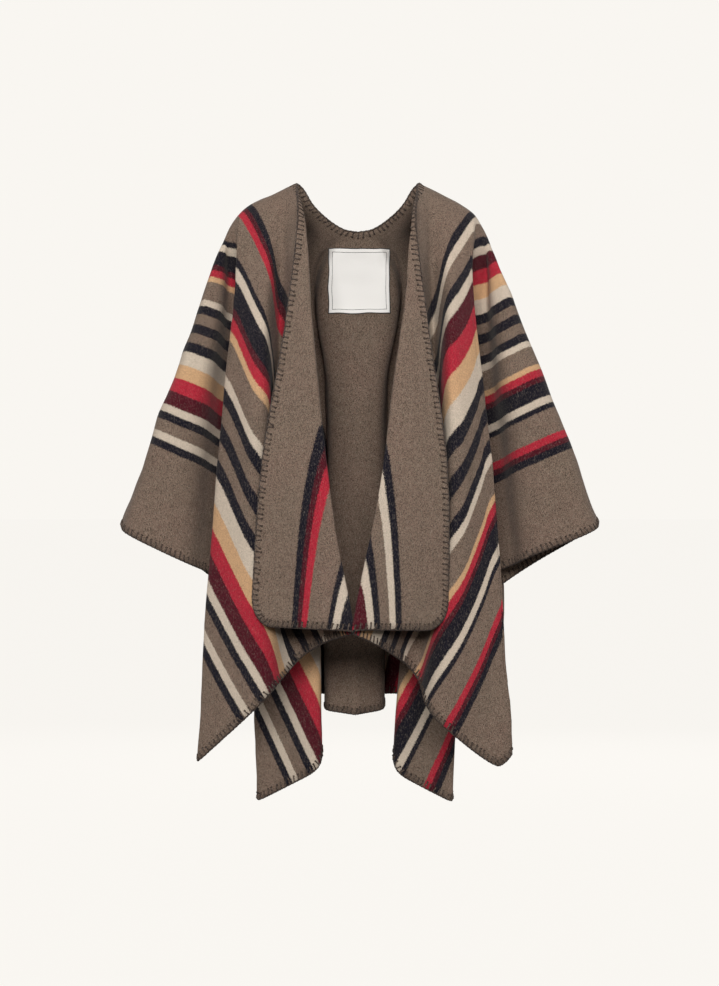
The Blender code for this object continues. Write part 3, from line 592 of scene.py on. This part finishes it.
def crease_cloth(blanket):
    """Press the soft troughs and ridges of the listed creases into the cloth, and let its edges wave."""
    mesh = blanket.data
    places, normals = read_vectors(mesh, "co", 3), read_vectors(mesh, "normal", 3)
    cut = read_vectors(mesh, "cut", 2) / CM
    push = np.zeros(len(places))
    for _, side, u_1, v_1, u_2, v_2, width, height in CREASES:
        place = cut * (mirrored(side), 1.0)
        distance = distance_from_line(place, (u_1, v_1), (u_2, v_2))
        push += np.where(place[:, 0] >= 0.0, height * np.exp(-(distance / width) ** 2), 0.0)
    for index, (u, v) in enumerate(cut):
        swell = Vector((u / SWELL_WIDTH, v / SWELL_LENGTH, SWELL_SLICE))
        ripple = Vector((u / RIPPLE_WIDTH, v / RIPPLE_WIDTH, RIPPLE_SLICE))
        push[index] += SWELL_HEIGHT * noise.noise(swell)
        push[index] += RIPPLE_HEIGHT * noise.noise(ripple)
    places += normals * (push * CM)[:, None]
    mesh.vertices.foreach_set("co", places.astype(np.float32).ravel())
    mesh.update()


def cut_edge_loop(blanket):
    """The cut edge as one closed loop: its points, the cloth's normals there and the way in."""
    shape = bmesh.new()
    shape.from_mesh(blanket.data)
    border = [edge for edge in shape.edges if edge.is_boundary]
    edge = border[0]
    first = here = edge.verts[0]
    points, normals, inward = [], [], []
    while True:
        there = edge.other_vert(here)
        along = (there.co - here.co).normalized()
        face = edge.link_faces[0]
        inside = face.calc_center_median() - here.co
        points.append(here.co.copy())
        normals.append(here.normal.copy())
        inward.append((inside - along * inside.dot(along)).normalized())
        here = there
        if here is first:
            break
        edge = next(link for link in here.link_edges if link.is_boundary and link is not edge)
    shape.free()
    return np.array(points), np.array(normals), np.array(inward)


def even_steps(edge, pitch):
    """Places at an even pitch along the closed cut edge, with the cloth's normal and the way in."""
    points, normals, inward = edge
    closed = np.vstack([points, points[:1]])
    along = along_line(closed)
    count = round(along[-1] / pitch)
    at = np.linspace(0.0, along[-1], count, endpoint=False)
    read = []
    for values in (points, steady(normals), steady(inward)):
        values = np.vstack([values, values[:1]])
        read.append(read_along(at, along, values))
    places, up, inner = read
    up /= np.linalg.norm(up, axis=1)[:, None]
    inner -= up * np.sum(inner * up, axis=1)[:, None]
    inner /= np.linalg.norm(inner, axis=1)[:, None]
    return places, up, inner


def steady(directions, passes=4):
    """Directions along the closed edge, evened out between neighbours."""
    for _ in range(passes):
        directions = directions + 0.5 * (np.roll(directions, 1, axis=0) + np.roll(directions, -1, axis=0))
        directions = directions / np.linalg.norm(directions, axis=1)[:, None]
    return directions


def thread_object(name, strands, cyclic, radius, sides):
    """Yarn along the given strands of points."""
    curve = bpy.data.curves.new(name, "CURVE")
    curve.dimensions = "3D"
    curve.bevel_depth = radius
    curve.bevel_resolution = (sides - 4) // 2
    curve.use_fill_caps = not cyclic
    for strand in strands:
        spline = curve.splines.new("POLY")
        spline.points.add(len(strand) - 1)
        spline.points.foreach_set("co", np.column_stack([strand, np.ones(len(strand))]).ravel())
        spline.use_cyclic_u = cyclic
    thread = bpy.data.objects.new(name, curve)
    bpy.context.scene.collection.objects.link(thread)
    bpy.ops.object.select_all(action="DESELECT")
    bpy.context.view_layer.objects.active = thread
    thread.select_set(True)
    bpy.ops.object.convert(target="MESH")
    bpy.ops.object.shade_smooth()
    return bpy.context.object


def on_cloth(blanket, point, lift):
    """The place on the cloth's surface nearest to a point, lifted off it."""
    _, place, normal, _ = blanket.closest_point_on_mesh(Vector(point))
    return np.array(place + normal * lift)


def blanket_stitch(edge, blanket):
    """Blanket stitch: yarn along the cut edge, and a bar over it at every stitch, on both faces, with painted
    shade: a dark tube where each bar goes into the cloth.
    """
    rim, yarn = CLOTH_THICKNESS * CM / 2, YARN_RADIUS * CM
    places, up, inner = even_steps(edge, STITCH_PITCH * CM)
    count = len(places)
    fine, fine_up, fine_inner = even_steps(edge, STITCH_PITCH * CM / EDGE_STEPS)
    swell = np.cos(2 * np.pi * np.arange(len(fine)) * count / len(fine))
    wander = np.array([noise.noise(Vector(place * EDGE_WANDER_SCALE)) for place in fine])
    outer = fine + fine_inner * ((STITCH_PULL * swell) * CM + yarn * 0.25)[:, None]
    outer += fine_up * (wander * rim * EDGE_WANDER)[:, None]
    loops = thread_object("stitch_edge_yarn", [outer], True, EDGE_YARN_RADIUS * CM, 6)
    along = np.cross(up, inner)
    bars, prick_shadows = [], []
    for index, (place, above, inside, side) in enumerate(zip(places, up, inner, along)):
        faces = []
        for face in (1.0, -1.0):
            drift = BAR_DRIFT + noise.noise(Vector((index * 0.73, 2.0, 5.0 * face)))
            reach = STITCH_LENGTH + STITCH_VARIATION * noise.noise(Vector((index * 0.61, 7.0, face)))
            far = place + inside * reach * CM + side * (STITCH_SLANT * CM * drift)
            out = above * face * rim * OFF_CLOTH
            # a short dark tube through the cloth's face at the bar's far end: painted shade for the hollow
            # there
            top, under = on_cloth(blanket, far + out, 0.02 * CM), on_cloth(blanket, far + out, -rim)
            prick_shadows.append(np.array([under, top]))
            faces.append([
                on_cloth(blanket, far + inside * yarn * 0.8 + out, -rim * 0.8),
                on_cloth(blanket, far + out, yarn * 0.2),
                on_cloth(blanket, place * 0.5 + far * 0.5 + out, yarn * 0.35),
                on_cloth(blanket, place + inside * yarn * 1.2 + out, yarn * 0.3),
            ])
        bars.append(np.array(faces[0] + [place - inside * yarn * 0.55] + faces[1][::-1]))
    stitches = thread_object("stitch_bars", bars, False, yarn * 0.95, 6)
    hole_shadows = thread_object("stitch_prick_shadows", prick_shadows, False, PRICK_SHADOW_RADIUS * CM, 6)
    return loops, stitches, hole_shadows


def neck_label(blanket):
    """The sewn-on label: a thin square that follows the inside of the back."""
    top = NECK[-1][3] - LABEL_DROP
    cells = LABEL_CELLS
    bpy.ops.mesh.primitive_grid_add(x_subdivisions=cells, y_subdivisions=cells, size=1.0)
    label = bpy.context.object
    label.name = label.data.name = "label"
    for vertex in label.data.vertices:
        x, y = vertex.co.x, vertex.co.y
        pucker = Vector((x * 4.0, y * 4.0, 1.3))
        out = (LABEL_CENTRE + x * LABEL_WIDTH + LABEL_PUCKER * noise.noise(pucker)) * CM
        height = (top + (y - 0.5) * LABEL_HEIGHT + LABEL_PUCKER * noise.noise(pucker.yxz)) * CM
        _, place, _, _ = blanket.ray_cast(Vector((out, -0.02, height)), Vector((0.0, 1.0, 0.0)))
        puff = LABEL_PUFF * (1 - (2 * x) ** 4) * (1 - (2 * y) ** 4)
        puff *= 0.6 + noise.noise(Vector((x * 3.1, y * 2.7, 4.4)))
        vertex.co = place - Vector((0.0, LABEL_THICKNESS * 0.5 + LABEL_CLEARANCE + puff, 0.0)) * CM
    bpy.ops.object.shade_smooth()
    shell = label.modifiers.new("Label thickness", "SOLIDIFY")
    shell.thickness = LABEL_THICKNESS * CM
    shell.offset = 0.0
    bpy.ops.object.modifier_apply(modifier=shell.name)
    return label


# Materials

def new_group(name, inputs, outputs):
    group = bpy.data.node_groups.new(name, "ShaderNodeTree")
    for label, kind, value in inputs:
        socket = group.interface.new_socket(label, in_out="INPUT", socket_type=kind)
        if value is not None:
            socket.default_value = value
    for label, kind in outputs:
        group.interface.new_socket(label, in_out="OUTPUT", socket_type=kind)
    return group, group.nodes.new("NodeGroupInput"), group.nodes.new("NodeGroupOutput")


def math_node(tree, operation, first, second=None, third=None, clamp=False):
    node = tree.nodes.new("ShaderNodeMath")
    node.operation = operation
    node.use_clamp = clamp
    for index, value in enumerate((first, second, third)):
        if value is None:
            continue
        if isinstance(value, (int, float)):
            node.inputs[index].default_value = value
        else:
            tree.links.new(value, node.inputs[index])
    return node.outputs[0]


def noise_node(tree, vector, scale, detail=2.0, roughness=0.5, distortion=0.0):
    node = tree.nodes.new("ShaderNodeTexNoise")
    node.inputs["Scale"].default_value = scale
    node.inputs["Detail"].default_value = detail
    node.inputs["Roughness"].default_value = roughness
    node.inputs["Distortion"].default_value = distortion
    tree.links.new(vector, node.inputs["Vector"])
    return node.outputs["Fac"]


def stretched(tree, vector, scale, turn=(0.0, 0.0, 0.0)):
    node = tree.nodes.new("ShaderNodeMapping")
    node.inputs["Scale"].default_value = scale
    node.inputs["Rotation"].default_value = turn
    tree.links.new(vector, node.inputs["Vector"])
    return node.outputs["Vector"]


def mix_colour(tree, kind, factor, first, second):
    node = tree.nodes.new("ShaderNodeMix")
    node.data_type = "RGBA"
    node.blend_type = kind
    for name, value in (("Factor", factor), ("A", first), ("B", second)):
        socket = next(s for s in node.inputs if s.name == name and s.enabled and (
            s.type == ("VALUE" if name == "Factor" else "RGBA")))
        if isinstance(value, (int, float, tuple)):
            socket.default_value = value
        else:
            tree.links.new(value, socket)
    return next(s for s in node.outputs if s.type == "RGBA")


def grey_colour(tree, value):
    """A grey as light as a value that varies over the surface."""
    node = tree.nodes.new("ShaderNodeCombineColor")
    for socket in node.inputs:
        tree.links.new(value, socket)
    return node.outputs[0]


def principled(name, values):
    """A new material with these values on its Principled BSDF, and its tree and that shader."""
    material = bpy.data.materials.new(name)
    material.use_nodes = True
    tree = material.node_tree
    shader = tree.nodes["Principled BSDF"]
    for socket, value in values.items():
        shader.inputs[socket].default_value = value
    return material, tree, shader


def bump_surface(tree, shader, height, strength, distance):
    """Let the surface rise and fall with a height, by a distance in metres."""
    bump = tree.nodes.new("ShaderNodeBump")
    bump.inputs["Strength"].default_value = strength
    bump.inputs["Distance"].default_value = distance
    tree.links.new(height, bump.inputs["Height"])
    tree.links.new(bump.outputs["Normal"], shader.inputs["Normal"])


def stripe_group():
    """Colour of the woven stripes at a place in the cut, u across and v along, in metres."""
    group, given, result = new_group(
        "woven stripes", [("Cut", "NodeSocketVector", None), ("Fray", "NodeSocketFloat", 0.0)],
        [("Colour", "NodeSocketColor"), ("Heather", "NodeSocketFloat")])
    apart = group.nodes.new("ShaderNodeSeparateXYZ")
    group.links.new(given.outputs["Cut"], apart.inputs[0])
    across = math_node(group, "MULTIPLY_ADD", apart.outputs["X"], 1.0 / CM, given.outputs["Fray"])
    total = sum(width for _, width in STRIPES)
    from_left = math_node(group, "ADD", across, STRIPE_START["left"] + total)
    from_right = math_node(group, "SUBTRACT", across, STRIPE_START["right"])
    on_right = math_node(group, "GREATER_THAN", across, 0.0)
    step = math_node(group, "SUBTRACT", from_right, from_left)
    place = math_node(group, "MULTIPLY_ADD", step, on_right, from_left)
    ramp = group.nodes.new("ShaderNodeValToRGB")
    ramp.color_ramp.interpolation = "CONSTANT"
    margin = 1.0
    span = total + 2 * margin
    share = math_node(group, "DIVIDE", math_node(group, "ADD", place, margin), span)
    group.links.new(share, ramp.inputs["Fac"])
    stops = ramp.color_ramp.elements
    stops[0].position, stops[0].color = 0.0, YARN["plain"]
    stops[1].position, stops[1].color = (total + margin) / span, YARN["plain"]
    at = margin
    for yarn, width in STRIPES:
        stop = stops.new(at / span)
        stop.color = YARN[yarn]
        at += width
    group.links.new(ramp.outputs["Color"], result.inputs["Colour"])
    group.links.new(ramp.outputs["Alpha"], result.inputs["Heather"])
    return group


def heather_group():
    """Heathered wool: light and dark flecks, a broad mottle and a few pale coarse hairs."""
    group, given, result = new_group(
        "heathered wool",
        [("Place", "NodeSocketVector", None), ("Yarn", "NodeSocketColor", None),
         ("Heather", "NodeSocketFloat", 1.0)],
        [("Colour", "NodeSocketColor"), ("Nap", "NodeSocketFloat")])
    place = given.outputs["Place"]
    coarse = noise_node(group, stretched(group, place, (1.0, 1.0, 0.65)), FLECK_SCALE, 2.0, 0.65)
    fine = noise_node(group, place, FIBRE_SCALE, 2.0, 0.65)
    flecks = math_node(group, "MULTIPLY_ADD", fine, 0.5, coarse)
    mottle = noise_node(group, stretched(group, place, (1.0, 1.0, 0.7)), MOTTLE_SCALE, 3.0, 0.6)
    patches = math_node(group, "MULTIPLY_ADD", mottle, MOTTLE_CONTRAST, -MOTTLE_CONTRAST / 2)
    offset = math_node(group, "MULTIPLY_ADD", math_node(group, "SUBTRACT", flecks, FLECK_MEAN),
                       FLECK_CONTRAST, patches)
    light = math_node(group, "MULTIPLY_ADD", offset, given.outputs["Heather"], 1.0)
    grey = grey_colour(group, math_node(group, "MAXIMUM", light, DARKEST_FLECK))
    colour = mix_colour(group, "MULTIPLY", 1.0, given.outputs["Yarn"], grey)
    hue = math_node(group, "MULTIPLY_ADD", noise_node(group, place, HUE_SCALE_BROAD, 2.0, 0.5), 0.2,
                    math_node(group, "MULTIPLY", noise_node(group, place, HUE_SCALE_FINE, 2.0, 0.6), 0.8))
    steeper = math_node(group, "MULTIPLY_ADD", math_node(group, "SUBTRACT", hue, 0.5), 3.0, 0.5, clamp=True)
    colour = mix_colour(group, "MULTIPLY", given.outputs["Heather"], colour,
                        mix_colour(group, "MIX", steeper, HEATHER_WARM, HEATHER_GREEN))
    for turn in HAIR_TURNS:
        lying = stretched(group, place, (1.0, 1.0, 0.12), (0.0, turn, 0.0))
        hairs = noise_node(group, lying, HAIR_SCALE, 1.0, 0.4)
        over = math_node(group, "SUBTRACT", hairs, HAIR_THRESHOLD)
        few = math_node(group, "MULTIPLY", over, 9.0, clamp=True)
        shown = math_node(group, "MULTIPLY", few, math_node(group, "MULTIPLY", given.outputs["Heather"], 0.5))
        colour = mix_colour(group, "MIX", shown, colour, KEMP)
    group.links.new(colour, result.inputs["Colour"])
    group.links.new(flecks, result.inputs["Nap"])
    return group


def fulled_wool(stripes, heather):
    """The blanket's cloth: heathered wool with a felted nap over a weave that hardly shows."""
    material, tree, shader = principled("fulled wool", {
        "Roughness": 0.95, "Specular IOR Level": 0.08, "Sheen Weight": 0.08, "Sheen Roughness": 0.5,
        "Sheen Tint": (1.0, 0.95, 0.9, 1.0)})
    cut = tree.nodes.new("ShaderNodeUVMap")
    cut.uv_map = "UVMap"
    place = cut.outputs["UV"]
    wander = math_node(tree, "MULTIPLY_ADD", noise_node(tree, place, 22.0, 3.0), 0.2, -0.1)
    felted = math_node(tree, "MULTIPLY_ADD", noise_node(tree, place, 420.0, 3.0, 0.7), 0.8, -0.4)
    fuzz = math_node(tree, "MULTIPLY_ADD", noise_node(tree, place, 1500.0, 1.0, 0.7), 0.6, -0.3)
    fray = math_node(tree, "ADD", wander, math_node(tree, "ADD", felted, fuzz))
    bands = tree.nodes.new("ShaderNodeGroup")
    bands.node_tree = stripes
    tree.links.new(place, bands.inputs["Cut"])
    tree.links.new(fray, bands.inputs["Fray"])
    wool = tree.nodes.new("ShaderNodeGroup")
    wool.node_tree = heather
    body = tree.nodes.new("ShaderNodeTexCoord").outputs["Object"]
    tree.links.new(body, wool.inputs["Place"])
    tree.links.new(bands.outputs["Colour"], wool.inputs["Yarn"])
    tree.links.new(bands.outputs["Heather"], wool.inputs["Heather"])
    tree.links.new(wool.outputs["Colour"], shader.inputs["Base Color"])
    soft = noise_node(tree, body, 110.0, 3.0)
    height = math_node(tree, "MULTIPLY_ADD", soft, 0.9, wool.outputs["Nap"])
    bump_surface(tree, shader, height, 0.5, 0.0009)
    return material


def prick_shade():
    """Painted shade: the dark colour of the shadow in the small hollows that the bars go into."""
    material, _, _ = principled(
        "stitch prick painted shade", {"Base Color": PRICK_SHADE_COLOUR, "Roughness": 1.0, "Specular IOR Level": 0.0})
    return material


def stitch_yarn(name, light):
    """The stitches' yarn, dark between its fibres and as light as given on them."""
    material, tree, shader = principled(
        name, {"Roughness": 0.9, "Specular IOR Level": 0.15, "Sheen Weight": 0.1})
    place = tree.nodes.new("ShaderNodeTexCoord").outputs["Object"]
    fibres = noise_node(tree, place, 420.0, 3.0, 0.7)
    ramp = tree.nodes.new("ShaderNodeValToRGB")
    stops = ramp.color_ramp.elements
    stops[0].position, stops[0].color = 0.38, STITCH_DARK
    stops[1].position, stops[1].color = 0.66, light
    tree.links.new(fibres, ramp.inputs["Fac"])
    tree.links.new(ramp.outputs["Color"], shader.inputs["Base Color"])
    bump_surface(tree, shader, fibres, 0.6, 0.0006)
    return material


def label_weave():
    """The label's fine satin weave, with a plain woven frame."""
    material, tree, shader = principled("woven label", {"Roughness": 0.62, "Sheen Weight": 0.15})
    place = tree.nodes.new("ShaderNodeUVMap")
    place.uv_map = "UVMap"
    apart = tree.nodes.new("ShaderNodeSeparateXYZ")
    tree.links.new(place.outputs["UV"], apart.inputs[0])
    from_edge = None
    for axis in ("X", "Y"):
        centred = math_node(tree, "ABSOLUTE", math_node(tree, "SUBTRACT", apart.outputs[axis], 0.5))
        gap = math_node(tree, "SUBTRACT", 0.5, centred)
        from_edge = gap if from_edge is None else math_node(tree, "MINIMUM", from_edge, gap)
    dark = None
    for inner, outer in LABEL_LINES:
        line = math_node(tree, "MULTIPLY", math_node(tree, "GREATER_THAN", from_edge, inner),
                         math_node(tree, "LESS_THAN", from_edge, outer))
        dark = line if dark is None else math_node(tree, "MAXIMUM", dark, line)
    threads = noise_node(tree, stretched(tree, place.outputs["UV"], (1.0, 6.0, 1.0)), 60.0, 2.0)
    light = math_node(tree, "MULTIPLY_ADD", threads, 0.16, 0.92)
    ground = mix_colour(tree, "MULTIPLY", 1.0, LABEL_GROUND, grey_colour(tree, light))
    colour = mix_colour(tree, "MIX", dark, ground, LABEL_DARK)
    tree.links.new(colour, shader.inputs["Base Color"])
    bump_surface(tree, shader, threads, 0.3, 0.0004)
    return material


def paper_material():
    """Studio paper: nearly all of its light is its own glow, so that it stays even."""
    material, _, _ = principled("pale studio paper", {
        "Base Color": (*(PAPER_SHADE * channel for channel in PAPER), 1.0),
        "Roughness": 0.9, "Specular IOR Level": 0.0,
        "Emission Color": (*PAPER, 1.0), "Emission Strength": PAPER_GLOW})
    return material


def wear_material(piece, material):
    piece.data.materials.clear()
    piece.data.materials.append(material)


def studio():
    """A pale floor, soft lights, the air with its pale backdrop, and the camera."""
    bpy.ops.mesh.primitive_grid_add(x_subdivisions=8, y_subdivisions=8, size=FLOOR_SIZE,
                                    location=(0.0, 0.0, FLOOR_HEIGHT))
    floor = bpy.context.object
    floor.name = "studio_floor"
    bpy.ops.object.transform_apply(location=True, rotation=False, scale=False)
    wear_material(floor, paper_material())
    floor.visible_diffuse = floor.visible_glossy = floor.visible_shadow = False

    for name, place, aim, width, height, watts in LIGHTS:
        lamp = bpy.data.lights.new(name, "AREA")
        lamp.shape = "RECTANGLE"
        lamp.size, lamp.size_y, lamp.energy = width, height, watts
        light = bpy.data.objects.new(name, lamp)
        light.location = place
        light.rotation_euler = (Vector(aim) - Vector(place)).to_track_quat("-Z", "Y").to_euler()
        bpy.context.scene.collection.objects.link(light)

    world = bpy.data.worlds.new("studio air")
    world.use_nodes = True
    tree = world.node_tree
    air = tree.nodes["Background"]
    air.inputs["Color"].default_value = (*AIR, 1.0)
    air.inputs["Strength"].default_value = AIR_STRENGTH
    backdrop = tree.nodes.new("ShaderNodeBackground")
    backdrop.inputs["Color"].default_value = (*PAPER, 1.0)
    seen = tree.nodes.new("ShaderNodeMixShader")
    tree.links.new(tree.nodes.new("ShaderNodeLightPath").outputs["Is Camera Ray"], seen.inputs["Fac"])
    tree.links.new(air.outputs["Background"], seen.inputs[1])
    tree.links.new(backdrop.outputs["Background"], seen.inputs[2])
    tree.links.new(seen.outputs["Shader"], tree.nodes["World Output"].inputs["Surface"])
    bpy.context.scene.world = world

    lens = bpy.data.cameras.new("camera")
    lens.sensor_fit = "VERTICAL"
    lens.sensor_height = SENSOR
    lens.lens = SENSOR * CAMERA_DISTANCE / VIEW_HEIGHT
    lens.clip_end = 100.0
    camera = bpy.data.objects.new("camera", lens)
    camera.location = (CAMERA_OUT, -CAMERA_DISTANCE, CAMERA_HEIGHT)
    camera.rotation_euler = (np.pi / 2, 0.0, 0.0)
    bpy.context.scene.collection.objects.link(camera)
    bpy.context.scene.camera = camera
    bpy.context.scene.view_settings.view_transform = "Standard"


def main():
    blanket = hang_cloth()
    crease_cloth(blanket)
    bpy.ops.object.shade_smooth()
    edge = cut_edge_loop(blanket)
    shell = blanket.modifiers.new("Cloth thickness", "SOLIDIFY")
    shell.thickness = CLOTH_THICKNESS * CM
    shell.offset = 0.0
    bpy.ops.object.modifier_apply(modifier=shell.name)
    wear_material(blanket, fulled_wool(stripe_group(), heather_group()))
    label = neck_label(blanket)
    wear_material(label, label_weave())
    # the last material is painted shade, for the dark tubes in the stitch hollows
    yarns_and_prick_shade = stitch_yarn("edge yarn", EDGE_LIGHT), stitch_yarn("stitch yarn", STITCH_LIGHT), prick_shade()
    stitches = blanket_stitch(edge, blanket)
    for piece, material in zip(stitches, yarns_and_prick_shade):
        wear_material(piece, material)
    for piece in (blanket, label, *stitches):
        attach(piece, "root")
    panels = [f"{panel}_{side}" for panel in PANELS for side in ("left", "right")]
    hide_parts("back_centre", *panels)
    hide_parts("neck_label")
    studio()


main()
